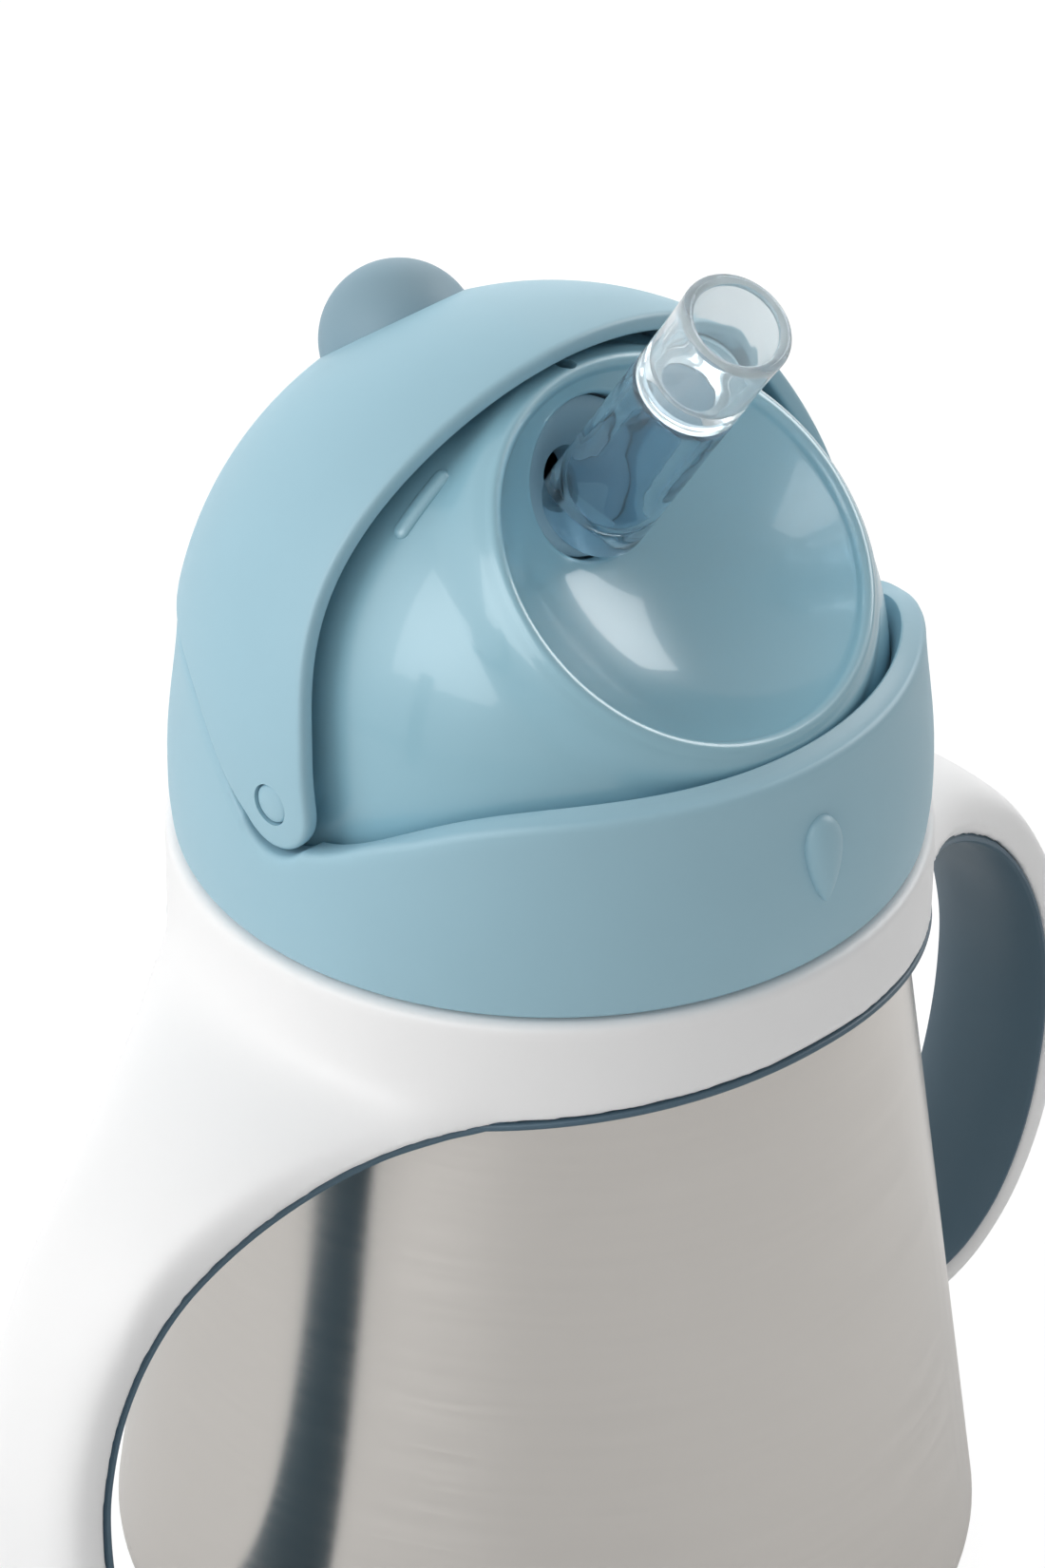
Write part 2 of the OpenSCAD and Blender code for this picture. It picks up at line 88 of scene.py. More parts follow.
# the raised drop: half width, reach above and below its middle, height over the wall, and place
DROP_HALF = 2.1
DROP_UP = 2.9
DROP_DOWN = 5.6
DROP_LIFT = 1.3
DROP_Z = COLLAR_Z + 12.15


def lean(a):
    """Unit vector in the YZ plane, a degrees from up towards the front: (0, -sin a, cos a)."""
    a = math.radians(a)
    return np.array([0.0, -math.sin(a), math.cos(a)])


HINGE = np.array([0.0, 0.0, HINGE_Z])
# leans from up towards the front, in degrees
HOLE_LEAN = 70
SCOOP_AXIS = lean(41)
HOLE_AXIS = lean(HOLE_LEAN)
SPOUT_AXIS = lean(33.6)
BALL_AXIS = lean(-38.6)
VENT_AXIS = lean(50)
SCOOP_C = SCOOP_AXIS * (math.sqrt(DOME_R**2 - SCOOP_RIM_R**2)
                        + math.sqrt(SCOOP_R**2 - SCOOP_RIM_R**2))
HOLE_C = SCOOP_C - SCOOP_R * HOLE_AXIS
# the spout's root lies 3 mm below the hole's middle, along the hole's plane
SPOUT_ROOT = HOLE_C - 3.0 * np.array([0.0, math.cos(math.radians(HOLE_LEAN)),
                                      math.sin(math.radians(HOLE_LEAN))])
print("scoop centre", SCOOP_C.round(2), "spout root", SPOUT_ROOT.round(2))


def rim(y):
    """Height of the collar's rim over the hinge: high at front and back, low at the hinge."""
    y = np.asarray(y, float)
    ease = np.where(y < 0, 13.5, 8.8)
    return 5.7 - 9.3 * np.exp(-(((np.abs(y) - 1.5) / ease) ** 2))


# %% [markdown]
# ## Tools for surfaces
# A surface is a grid of points: rows along one parameter, columns round the other. The columns
# always close round. The first and last row either close onto each other or end in a point.

# %% Surface tools
def unit(v):
    """v / |v| along the last axis."""
    return v / np.linalg.norm(v, axis=-1, keepdims=True)


def smoothstep(t):
    """3 t^2 - 2 t^3 between 0 and 1."""
    t = np.clip(t, 0, 1)
    return t * t * (3 - 2 * t)


def spline(points, count):
    """Catmull-Rom curve through the rows of points, count samples."""
    p = np.asarray(points, float)
    q = np.vstack([2 * p[0] - p[1], p, 2 * p[-1] - p[-2]])
    t = np.linspace(0, len(p) - 1, count)
    i = np.minimum(t.astype(int), len(p) - 2)
    f = (t - i)[:, None]
    a, b, c, d = q[i], q[i + 1], q[i + 2], q[i + 3]
    return 0.5 * (2 * b + (c - a) * f + (2 * a - 5 * b + 4 * c - d) * f**2
                  + (3 * b - a - 3 * c + d) * f**3)


def arc(cx, cy, r, a0, a1, n=6):
    """n + 1 points on a circle about (cx, cy) from angle a0 to a1 in degrees."""
    a = np.radians(np.linspace(a0, a1, n + 1))
    return np.stack([cx + r * np.cos(a), cy + r * np.sin(a)], 1)


def grid_faces(grid, loop):
    """(vertices, quads and triangles) of one closed sheet. With loop the last row joins the first,
    without it the first and the last row are closed by a fan to their mean point."""
    rows, cols = grid.shape[:2]
    verts = grid.reshape(-1, 3)
    i = np.arange(rows if loop else rows - 1)[:, None]
    j = np.arange(cols)[None, :]
    a = i * cols + j
    b = i * cols + (j + 1) % cols
    c = ((i + 1) % rows) * cols + (j + 1) % cols
    d = ((i + 1) % rows) * cols + j
    quads = np.stack([a, b, c, d], -1).reshape(-1, 4)
    tris = np.zeros((0, 3), int)
    if not loop:
        k = np.arange(cols)
        n = len(verts)
        verts = np.vstack([verts, grid[0].mean(0), grid[-1].mean(0)])
        last = (rows - 1) * cols
        tris = np.vstack([
            np.stack([np.full(cols, n), (k + 1) % cols, k], 1),
            np.stack([np.full(cols, n + 1), last + k, last + (k + 1) % cols], 1),
        ])
    volume = 0.0
    for f in (quads[:, [0, 1, 2]], quads[:, [0, 2, 3]], tris):
        p = verts[f]
        volume += np.einsum("ij,ij->", p[:, 0], np.cross(p[:, 1], p[:, 2])) / 6
    if volume < 0:
        quads, tris = quads[:, ::-1], tris[:, ::-1]
    return verts, quads, tris


def piece(name, sheets, material, sharp=40.0):
    """One mesh object from closed sheets, each (grid in mm, loop). Faces outward, smooth shaded."""
    verts, faces, base = [], [], 0
    for grid, loop in sheets:
        v, q, t = grid_faces(np.asarray(grid, float), loop)
        verts.append(v)
        faces += (q + base).tolist() + (t + base).tolist()
        base += len(v)
    mesh = bpy.data.meshes.new(name)
    mesh.from_pydata((np.vstack(verts) / 1000).tolist(), [], faces)
    mesh.update()
    mesh.polygons.foreach_set("use_smooth", np.ones(len(mesh.polygons), bool))
    mesh.set_sharp_from_angle(angle=math.radians(sharp))
    mesh.materials.append(material)
    obj = bpy.data.objects.new(name, mesh)
    bpy.context.scene.collection.objects.link(obj)
    print(name, len(mesh.vertices), "vertices", len(mesh.polygons), "faces")
    return obj


def lathe(profile, origin=(0, 0, 0), axis=(0, 0, 1), cols=96):
    """Surface of revolution: (r, s) rows give origin + r (cos a e1 + sin a e2) + s axis."""
    profile = np.asarray(profile, float)
    axis = unit(np.asarray(axis, float))
    e1 = np.array([1.0, 0, 0]) if abs(axis[0]) < 0.9 else np.array([0, 1.0, 0])
    e1 = unit(e1 - axis * (e1 @ axis))
    e2 = np.cross(axis, e1)
    a = np.linspace(0, 2 * np.pi, cols, endpoint=False)
    ring = np.cos(a)[:, None] * e1 + np.sin(a)[:, None] * e2
    return (np.asarray(origin, float) + profile[:, 0, None, None] * ring[None]
            + profile[:, 1, None, None] * axis)


def cut(obj, name, sheets):
    """Takes closed sheets away from obj by an exact boolean, and leaves the result in its mesh."""
    tool = piece(name, sheets, obj.data.materials[0])
    mod = obj.modifiers.new(name, "BOOLEAN")
    mod.operation, mod.solver, mod.object = "DIFFERENCE", "EXACT", tool
    done = bake(obj)
    bpy.data.objects.remove(tool)
    done.set_sharp_from_angle(angle=math.radians(40))
    return obj


def bake(obj):
    """Leaves the result of obj's modifiers in its mesh."""
    bpy.context.view_layer.update()
    graph = bpy.context.evaluated_depsgraph_get()
    done = bpy.data.meshes.new_from_object(obj.evaluated_get(graph))
    obj.modifiers.clear()
    obj.data = done
    done.polygons.foreach_set("use_smooth", np.ones(len(done.polygons), bool))
    return done


def fuse(obj, voxel, passes, soft_passes, where):
    """Makes one skin of overlapping sheets: voxel remesh at a size in mm, plain smoothing all over,
    then more passes where the function where(points in mm, normals) gives a weight."""
    mod = obj.modifiers.new("fuse", "REMESH")
    mod.mode, mod.voxel_size = "VOXEL", voxel / 1000
    mod = obj.modifiers.new("soften", "SMOOTH")
    mod.factor, mod.iterations = 0.5, passes
    mesh = bake(obj)
    co = np.empty(len(mesh.vertices) * 3)
    mesh.vertices.foreach_get("co", co)
    co = co.reshape(-1, 3) * 1000
    pairs = np.empty(len(mesh.edges) * 2, np.int64)
    mesh.edges.foreach_get("vertices", pairs)
    pairs = pairs.reshape(-1, 2)
    ends = np.concatenate([pairs, pairs[:, ::-1]])
    count = np.bincount(ends[:, 0], minlength=len(co))[:, None]
    facing = np.empty(len(mesh.vertices) * 3)
    mesh.vertices.foreach_get("normal", facing)
    weight = 0.5 * where(co, facing.reshape(-1, 3))[:, None]
    for _ in range(soft_passes):
        total = np.stack([np.bincount(ends[:, 0], co[ends[:, 1], axis], len(co))
                          for axis in range(3)], 1)
        co += weight * (total / count - co)
    mesh.vertices.foreach_set("co", (co / 1000).ravel())
    mesh.update()
    print(obj.name, "fused", len(mesh.polygons), "faces")
    return obj


# %% [markdown]
# ## Tools for materials
# Colours are written as they look, and turned to linear values by one function. Every pattern
# scale below comes from a real size in millimetres on object coordinates, which are metres.

# %% Material tools
def hexc(text):
    """Linear RGBA of an sRGB hex colour."""
    c = np.array([int(text[i:i + 2], 16) for i in (1, 3, 5)]) / 255
    c = np.where(c <= 0.04045, c / 12.92, ((c + 0.055) / 1.055) ** 2.4)
    return (*c.tolist(), 1.0)


def add(tree, kind, inputs=None, **settings):
    """A node with its settings; an input is a value or the socket that feeds it."""
    n = tree.nodes.new("ShaderNode" + kind)
    for key, value in settings.items():
        setattr(n, key, value)
    for key, value in (inputs or {}).items():
        if isinstance(value, bpy.types.NodeSocket):
            tree.links.new(value, n.inputs[key])
        else:
            n.inputs[key].default_value = value
    return n


def material(name):
    """(material, tree, shader) with a Principled shader linked to the output."""
    m = bpy.data.materials.new(name)
    m.use_nodes = True
    tree = m.node_tree
    tree.nodes.clear()
    shader = add(tree, "BsdfPrincipled")
    add(tree, "OutputMaterial", {"Surface": shader.outputs[0]})
    return m, tree, shader


def mm(size):
    """Noise scale whose cells are about size mm across."""
    return 1000.0 / size


def mottle(tree, colour, amount, size):
    """Colour with slow variation in value, cells of size mm, amount as a share."""
    where = add(tree, "TexCoord").outputs["Object"]
    noise = add(tree, "TexNoise", {"Vector": where, "Scale": mm(size), "Detail": 3.0})
    value = add(tree, "MapRange", {"Value": noise.outputs["Fac"], "From Min": 0.3, "From Max": 0.7,
                                   "To Min": 1 - amount, "To Max": 1 + amount})
    return add(tree, "HueSaturation", {"Color": hexc(colour), "Value": value.outputs[0]}).outputs[0]


def grain(tree, size, strength, depth):
    """Bump of fine noise: cells of size mm, depth in mm."""
    where = add(tree, "TexCoord").outputs["Object"]
    noise = add(tree, "TexNoise", {"Vector": where, "Scale": mm(size), "Detail": 4.0,
                                   "Roughness": 0.6})
    return add(tree, "Bump", {"Height": noise.outputs["Fac"], "Strength": strength,
                              "Distance": depth / 1000}).outputs[0]


def plastic(name, colour, rough, grain_mm, depth, coat=0.0, mottled=0.015, scatter=0.0, ior=1.5):
    """Moulded plastic: slight tone drift, fine texture in bump and roughness, optional clear skin."""
    m, tree, shader = material(name)
    tree.links.new(mottle(tree, colour, mottled, 18.0), shader.inputs["Base Color"])
    where = add(tree, "TexCoord").outputs["Object"]
    noise = add(tree, "TexNoise", {"Vector": where, "Scale": mm(6.0), "Detail": 5.0})
    value = add(tree, "MapRange", {"Value": noise.outputs["Fac"], "To Min": rough - 0.05,
                                   "To Max": rough + 0.05})
    tree.links.new(value.outputs[0], shader.inputs["Roughness"])
    tree.links.new(grain(tree, grain_mm, 0.5, depth), shader.inputs["Normal"])
    shader.inputs["IOR"].default_value = ior
    shader.inputs["Coat Weight"].default_value = coat
    shader.inputs["Coat Roughness"].default_value = 0.06
    shader.inputs["Subsurface Weight"].default_value = scatter
    shader.inputs["Subsurface Radius"].default_value = (1.0, 1.0, 1.0)
    shader.inputs["Subsurface Scale"].default_value = 0.0015
    return m


# %% [markdown]
# ## Finishes
# Satin polypropylene for collar and cover, polished polypropylene for the dome, white
# polypropylene for the handle frame, soft slate elastomer, clear silicone and brushed steel.

# %% Materials
# light blue polypropylene from a fine spark-eroded mould
satin = plastic("satin_polypropylene", "#9fc6d5", 0.46, 0.12, 0.006, scatter=0.05)
# the same polypropylene from a polished mould
gloss = plastic("polished_polypropylene", "#92c0d0", 0.32, 0.9, 0.0015, coat=0.5, ior=1.6)
# semi-gloss white polypropylene
white = plastic("white_polypropylene", "#fafafa", 0.42, 0.5, 0.002, mottled=0.004, scatter=0.1)
# slate blue soft-touch elastomer of the ball
slate = plastic("slate_elastomer", "#86a3b1", 0.55, 0.1, 0.008, scatter=0.05)
# the ball's elastomer, made darker for the grips and the lining: painted shade of their downward and
# inward faces
slate_painted_shade = plastic("slate_elastomer_painted_shade", "#4a6474", 0.5, 0.1, 0.008)


def brushed_steel():
    """Stainless steel brushed round the body: short scratches along the turn, stretched noise."""
    m, tree, shader = material("brushed_stainless_steel")
    where = add(tree, "TexCoord").outputs["Object"]
    axes = add(tree, "SeparateXYZ", {"Vector": where})
    turn = add(tree, "Math", {0: axes.outputs["Y"], 1: axes.outputs["X"]}, operation="ARCTAN2")
    # arc length at the body's radius, 38 mm, and height
    across = add(tree, "Math", {0: turn.outputs[0], 1: 0.038}, operation="MULTIPLY")
    flat = add(tree, "CombineXYZ", {"X": across.outputs[0], "Y": axes.outputs["Z"]})
    # scratches 6 mm long and 0.12 mm wide, and faint bands 30 mm long and 0.8 mm wide
    fine = add(tree, "TexNoise", {"Vector": add(tree, "Mapping", {"Vector": flat.outputs[0],
               "Scale": (mm(6.0), mm(0.12), 1.0)}).outputs[0], "Scale": 1.0, "Detail": 3.0})
    band = add(tree, "TexNoise", {"Vector": add(tree, "Mapping", {"Vector": flat.outputs[0],
               "Scale": (mm(30.0), mm(0.8), 1.0)}).outputs[0], "Scale": 1.0, "Detail": 2.0})
    both = add(tree, "Math", {0: fine.outputs["Fac"], 1: band.outputs["Fac"]}, operation="ADD")
    tone = add(tree, "MapRange", {"Value": both.outputs[0], "From Min": 0.6, "From Max": 1.4,
                                  "To Min": 0.955, "To Max": 1.03})
    tint = add(tree, "HueSaturation", {"Color": hexc("#d6d2cd"), "Value": tone.outputs[0]})
    tree.links.new(tint.outputs[0], shader.inputs["Base Color"])
    rough = add(tree, "MapRange", {"Value": both.outputs[0], "From Min": 0.6, "From Max": 1.4,
                                   "To Min": 0.2, "To Max": 0.27})
    tree.links.new(rough.outputs[0], shader.inputs["Roughness"])
    bump = add(tree, "Bump", {"Height": both.outputs[0], "Strength": 0.12, "Distance": 0.00001})
    tree.links.new(bump.outputs[0], shader.inputs["Normal"])
    tangent = add(tree, "Tangent", direction_type="RADIAL", axis="Z")
    tree.links.new(tangent.outputs[0], shader.inputs["Tangent"])
    shader.inputs["Metallic"].default_value = 1.0
    shader.inputs["Anisotropic"].default_value = 0.85
    shader.inputs["Anisotropic Rotation"].default_value = 0.25
    return m


def silicone(name, tint, see_through, rough):
    """Clear silicone rubber: a trace of blue, a little milkiness, and a soft uneven skin."""
    m, tree, shader = material(name)
    where = add(tree, "TexCoord").outputs["Object"]
    # slow ripples of the moulded wall, 4 mm across
    noise = add(tree, "TexNoise", {"Vector": where, "Scale": mm(4.0), "Detail": 1.0})
    bump = add(tree, "Bump", {"Height": noise.outputs["Fac"], "Strength": 0.35, "Distance": 0.0003})
    tree.links.new(bump.outputs[0], shader.inputs["Normal"])
    shader.inputs["Base Color"].default_value = hexc(tint)
    shader.inputs["Roughness"].default_value = rough
    shader.inputs["IOR"].default_value = 1.3
    shader.inputs["Transmission Weight"].default_value = see_through
    shader.inputs["Specular IOR Level"].default_value = 0.5
    return m


steel = brushed_steel()
clear = silicone("clear_silicone", "#cfe3ee", 0.95, 0.05)
# the tip's thinner wall reads lighter; the seat's darker, less clear tint is painted shade of the
# hole it sits in
clear_tip = silicone("clear_silicone_tip", "#f0f8fb", 0.8, 0.05)
shaded_seat_silicone = silicone("clear_silicone_seat_painted_shade", "#a9c8d6", 0.1, 0.2)
print("materials", [m.name for m in bpy.data.materials])

# %% [markdown]
# ## Carried-over pieces
# The steel body, its liner and its foot, and the pieces inside, keep their CAD shape and take the
# finishes above.

# %% Finishes on CAD nodes
finish = {
    "bottle_shell": steel, "bottle_liner": steel, "bottle_base": steel, "weight_core": steel,
    "lid_gasket": clear, "vent_valve": clear, "straw_tube_upper": clear, "straw_tube_lower": clear,
    "weight_shell": clear, "straw_connector": white,
}
for name, m in finish.items():
    mesh = nodes[name].data
    mesh.materials.clear()
    mesh.materials.append(m)
print("finished", len(finish), "CAD nodes")

# %% [markdown]
# ## Handle ring and handles
# One white moulding: a ring that sits on the shoulder and two hanging handles. Each handle is a
# loft between a crest line in the middle plane and an edge line, so the ring's wall flares into
# the handle as one surface. A slate layer lies under the white one and shows as a line.

# %% Handles
# crest x, z; half width; how far the edge lies inwards and below the crest
STATIONS = [
    [34.5, 82.0, 24.4, 10.2, 0.0], [34.55, 79.0, 24.3, 10.1, 3.0], [34.8, 76.4, 23.4, 9.5, 3.0],
    [35.9, 74.4, 21.4, 8.5, 2.7], [38.2, 72.9, 18.7, 7.4, 2.1], [41.6, 71.2, 15.6, 6.4, 2.0],
    [46.0, 68.6, 12.6, 5.4, 2.1], [50.9, 65.0, 10.1, 4.5, 2.2], [55.6, 60.6, 8.4, 3.8, 2.2],
    [59.4, 55.4, 7.6, 3.6, 1.8], [62.4, 49.6, 7.25, 3.7, 1.5], [64.3, 43.0, 7.2, 3.9, 0.8],
    [65.0, 36.5, 7.2, 4.0, 0.0], [64.4, 28.0, 7.2, 3.95, -0.7], [62.3, 19.5, 7.2, 3.7, -1.45],
    [58.6, 12.4, 7.2, 3.2, -2.4], [53.6, 7.6, 7.2, 2.3, -3.3], [48.4, 5.2, 7.1, 1.2, -3.8],
    [44.6, 4.8, 7.0, 0.4, -4.0],
]


def handle_sheets(side, rows=150, half=36):
    """White and slate sheet of one handle. With v from -1 to 1 across, a section point is
    crest - d f(|v|), where f goes from the ring's circle at the root to a superellipse."""
    t = spline(STATIONS, rows)
    xc, zc, yb, dx, dz = t.T
    k = 1 - smoothstep((np.linspace(0, 1, rows) * 18 - 2.0) / 6.0)
    tangent = unit(np.gradient(t[:, :2], axis=0))
    normal = np.stack([-tangent[:, 1], tangent[:, 0]], 1)
    normal *= np.sign(normal[:, :1] * dx[:, None] + normal[:, 1:] * dz[:, None] + 1e-9)
    v = np.sin(np.linspace(-np.pi / 2, np.pi / 2, half * 2 + 1))
    circle = (RING_R - np.sqrt(RING_R**2 - (v[None] * yb[:, None]) ** 2)) / (
        RING_R - np.sqrt(RING_R**2 - yb[:, None] ** 2))
    crown = 1 - (1 - np.abs(v) ** 3.2) ** (1 / 3.2)
    fx = k[:, None] * circle + (1 - k[:, None]) * crown[None]
    fz = k[:, None] * np.abs(v[None]) ** 2 + (1 - k[:, None]) * crown[None]
    flat = k[:, None] * circle + (1 - k[:, None]) * np.abs(v[None]) ** 3

    def layer(deep_mid, deep_edge, shrink):
        """Section line at a depth: deep_mid under the crest, deep_edge under the edge line."""
        mid = np.stack([xc, zc], 1) - normal * deep_mid[:, None]
        edge = np.stack([xc - dx, zc - dz], 1) - normal * deep_edge
        x = mid[:, :1] - (mid[:, :1] - edge[:, :1]) * flat
        z = mid[:, 1:] - (mid[:, 1:] - edge[:, 1:]) * flat
        y = v[None] * (yb[:, None] - shrink)
        return np.stack([x, y, z], -1)

    outer = np.stack([xc[:, None] - dx[:, None] * fx, v[None] * yb[:, None],
                      zc[:, None] - dz[:, None] * fz], -1)
    deep = 2.1 + 1.7 * (1 - k)
    under = layer(deep, 0.45, 0.25)
    top_slate = layer(deep + 0.03, 0.48, 0.1)
    bottom = layer(deep + 0.5 + 1.9 * (1 - k), 1.1, 0.3)
    mid_slate = layer(deep + 0.2, 0.8, 0.02)

    def closed(upper, lower, extra=None, start=0):
        """Closed section rows from the upper and the lower line, with the extra line's two ends
        between them, from the row start on."""
        rows_ = [upper[start:]]
        if extra is not None:
            rows_.append(extra[start:, -1:])
        rows_.append(lower[start:, ::-1])
        if extra is not None:
            rows_.append(extra[start:, :1])
        sheet = np.concatenate(rows_, 1)
        # the free end is rounded: the last rows shrink as a quarter ellipse towards the middle
        # of the white layer's lower side
        n = len(sheet)
        s = np.linspace(start / rows, 1, n)
        shrink = np.sqrt(np.clip(1 - ((s - 0.955) / 0.045).clip(0, 1) ** 2, 0, 1))[:, None, None]
        centre = under[start:, half][:, None, :]
        sheet = centre + (sheet - centre) * np.maximum(shrink, 0.02)
        sheet[..., 0] *= side
        return sheet

    return closed(outer, under), closed(top_slate, bottom, mid_slate, start=14)


def low_edge(a):
    """Height of the ring's lower edge at angle a from the front or back, in degrees: it droops
    as a power curve towards the handles."""
    return BODY_H - 3.1 * np.minimum(a / 60.0, 1.0) ** 1.6


def ring_grid(profile_of, cols=320):
    """Ring whose (r, z) section depends on the angle from the front or back."""
    a = np.linspace(0, 2 * np.pi, cols, endpoint=False)
    off = np.degrees(np.abs(np.arctan2(np.abs(np.sin(a)), np.abs(np.cos(a)))))
    section = profile_of(low_edge(off))
    r, z = section[..., 0], section[..., 1]
    return np.stack([r * np.sin(a), -r * np.cos(a), z], -1)


def stack(rows):
    """Rows of (r, z), each a number or an array over the angle, as one (rows, cols, 2) array."""
    n = max(np.size(c) for row in rows for c in row)
    full = [[np.broadcast_to(np.asarray(c, float), n) for c in row] for row in rows]
    return np.array(full).transpose(0, 2, 1)


def white_ring(low):
    """Section of the white ring: flange on the shoulder, outer wall, rounded lower edge."""
    rows = [(29.1, RING_TOP - 0.1), (29.3, RING_TOP), (34.1, RING_TOP)]
    rows += [tuple(p) for p in arc(34.1, RING_TOP - 0.6, 0.6, 90, 0, 5)]
    rows += [(RING_R, low + (RING_TOP - 0.6 - low) * f) for f in (0.75, 0.5, 0.25)]
    rows += [(RING_R, low + 0.5), (RING_R - 0.05, low + 0.25), (RING_R - 0.2, low + 0.06)]
    rows += [(RING_R - 0.4, low), (RING_BORE + 0.3, low), (RING_BORE, low + 0.3)]
    rows += [(RING_BORE, 79.6), (29.3, 79.7), (29.1, 79.8)]
    return stack(rows)


def slate_ring(low):
    """Section of the lining: a thin lip under the white ring and a sleeve behind it."""
    top = low - 0.02
    return stack([(RING_BORE - 0.1, 79.4), (RING_BORE - 0.1, top + 0.3), (RING_BORE - 0.05, top),
                  (34.45, top), (RING_R - 0.1, top - 0.04), (RING_R - 0.02, top - 0.15),
                  (RING_R, top - 0.35),
                  (RING_R - 0.03, top - 0.52), (RING_R - 0.14, top - 0.64), (34.4, top - 0.68),
                  (31.98, top - 0.68), (31.93, top - 0.55), (31.93, 79.4)])


def flare(points, facing):
    """Weight of the outer face between ring and handle, away from the upper and lower edges."""
    x, y, z = points.T
    outer = smoothstep(np.hypot(x, y) - 33.4) * smoothstep((facing[:, 2] + 0.25) / 0.3)
    band = smoothstep((np.abs(x) - 16) / 8) * smoothstep((58 - np.abs(x)) / 8)
    return outer * band * smoothstep((81.0 - z) / 3)


right_white, right_slate = handle_sheets(1)
left_white, left_slate = handle_sheets(-1)
handles = piece("handle_frame_white", [(ring_grid(white_ring), True), (right_white, False),
                                       (left_white, False)], white)
fuse(handles, 0.42, 12, 110, flare)
# the lining and the grips take the slate copy with painted shade
lining = piece("ring_lining_slate", [(ring_grid(slate_ring), True)], slate_painted_shade)
grip_r = piece("grip_right_slate", [(right_slate, False)], slate_painted_shade)
grip_l = piece("grip_left_slate", [(left_slate, False)], slate_painted_shade)
for obj, node, slot in ((handles, "handle_frame", "white_plastic"),
                        (lining, "ring_lining", "slate_soft"),
                        (grip_r, "right_grip", "slate_soft"), (grip_l, "left_grip", "slate_soft")):
    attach(obj, "bottle")
    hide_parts(node)

# %% [markdown]
# ## Collar
# A moulded band with a slightly crowned wall. Its rim follows the cover's rear edge in the side
# view and drops to a round notch at each hinge pin. A raised drop on the front shows the middle.

# %% Collar
def collar_top(y):
    """Rim height over the hinge: the rim curve, and the notch's circle near the pin."""
    notch = -np.sqrt(np.clip(NOTCH_R**2 - y**2, 0, None))
    return np.where(np.abs(y) < NOTCH_R, np.minimum(rim(y), notch), rim(y))


def collar_wall(z):
    """Radius of the collar's upper wall at height z, which leans in towards the rim."""
    return LID_R + COLLAR_SWELL - COLLAR_LEAN * smoothstep((z - COLLAR_Z - 6.5) / 15)


def collar_grid():
    """Columns round the turn, denser at the notches; rows up the outer wall, over the rim, down."""
    base = np.linspace(0, 2 * np.pi, 480, endpoint=False)
    a = base - 0.35 * np.sin(2 * base)  # 0 is +X, and the columns crowd at +X and -X
    c, s = np.cos(a), np.sin(a)
    top = HINGE_Z + collar_top(s * LID_R)
    lip = 30.9
    top_in = HINGE_Z + collar_top(s * lip)
    # the rim slopes less where it dips at the hinge
    top = top - RIM_SLOPE * smoothstep((top - HINGE_Z + 1) / 4)

    def wall(z):
        """Outer wall: swells over the lower edge, then leans in towards the rim."""
        return collar_wall(z) - COLLAR_SWELL * (1 - smoothstep((z - COLLAR_Z) / 4))

    inside = DOME_SKIN + 0.1
    rows = [(inside, COLLAR_Z + 0.3), (COLLAR_IN + 0.2, COLLAR_Z), (33.3, COLLAR_Z)]
    rows += [tuple(p) for p in arc(33.2, COLLAR_Z + 0.8, 0.8, -80, -5, 5)]
    edge = 0.75
    for f in np.linspace(0.06, 1, 14):
        z = COLLAR_Z + 0.8 + (top - edge - COLLAR_Z - 0.8) * f
        rows.append((wall(z), z))
    for q in np.radians([15, 30, 45, 60, 75, 90]):
        rows.append((wall(top) - edge * (1 - np.cos(q)), top - edge * (1 - np.sin(q))))

    # ledge, small round edge, then a slope down to the dome
    rows.append(((wall(top) - edge + lip + 0.25) / 2, (top + top_in) / 2))
    rows += [(lip + 0.25, top_in), (lip + 0.08, top_in - 0.07), (lip, top_in - 0.25)]
    rows += [(inside + 0.25, top_in - 1.8), (inside, top_in - 2.6)]
    rows += [(inside, COLLAR_Z + (top_in - 2.6 - COLLAR_Z) * f) for f in (0.8, 0.4)]
    section = stack(rows)
    return np.stack([section[..., 0] * c, section[..., 0] * s, section[..., 1]], -1)


def drop_grid(rows=28, cols=48):
    """Raised drop on the collar's front: outline radius r(a) round its middle, height as a dome."""
    a = np.linspace(0, 2 * np.pi, cols, endpoint=False)
    # round above, pointed at the lower end
    ox = DROP_HALF * np.sin(a) * np.where(np.cos(a) > 0, 1.0, (1 - np.abs(np.cos(a)) ** 1.3) ** 0.35)
    oz = np.where(np.cos(a) > 0, DROP_UP * np.cos(a), DROP_DOWN * np.cos(a))
    f = np.linspace(0.0, 1.0, rows)
    r = np.sin(f * np.pi / 2)
    lift = DROP_LIFT * np.cos(f * np.pi / 2) ** 0.8
    x = r[:, None] * ox
    z = DROP_Z + r[:, None] * oz
    y = -np.sqrt(collar_wall(z) ** 2 - x**2) - lift[:, None]
    back = np.stack([x[-1], y[-1] + 1.0, z[-1]], -1)
    return np.concatenate([np.stack([x, y, z], -1), back[None]], 0)


collar = piece("collar", [(collar_grid(), True), (drop_grid(), False)], satin)
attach(collar, "lid")
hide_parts("lid_collar")

# %% [markdown]
# ## Dome
# The fixed part of the lid under the cover: a polished dome with a hollow scoop at the front and
# the spout's hole in the scoop. One sheet runs from the hole over the scoop, the scoop's bead and
# the dome down to the threaded skirt, and back inside at the wall's thickness.

# %% Dome
def circle_on(axis, half_angle, a):
    """Directions at half_angle degrees from a unit axis in the YZ plane; a = 0 is +X."""
    h = math.radians(half_angle)
    e1 = np.array([1.0, 0, 0])
    e2 = np.cross(axis, e1)
    return np.cos(h) * axis + np.sin(h) * (np.cos(a)[:, None] * e1 + np.sin(a)[:, None] * e2)


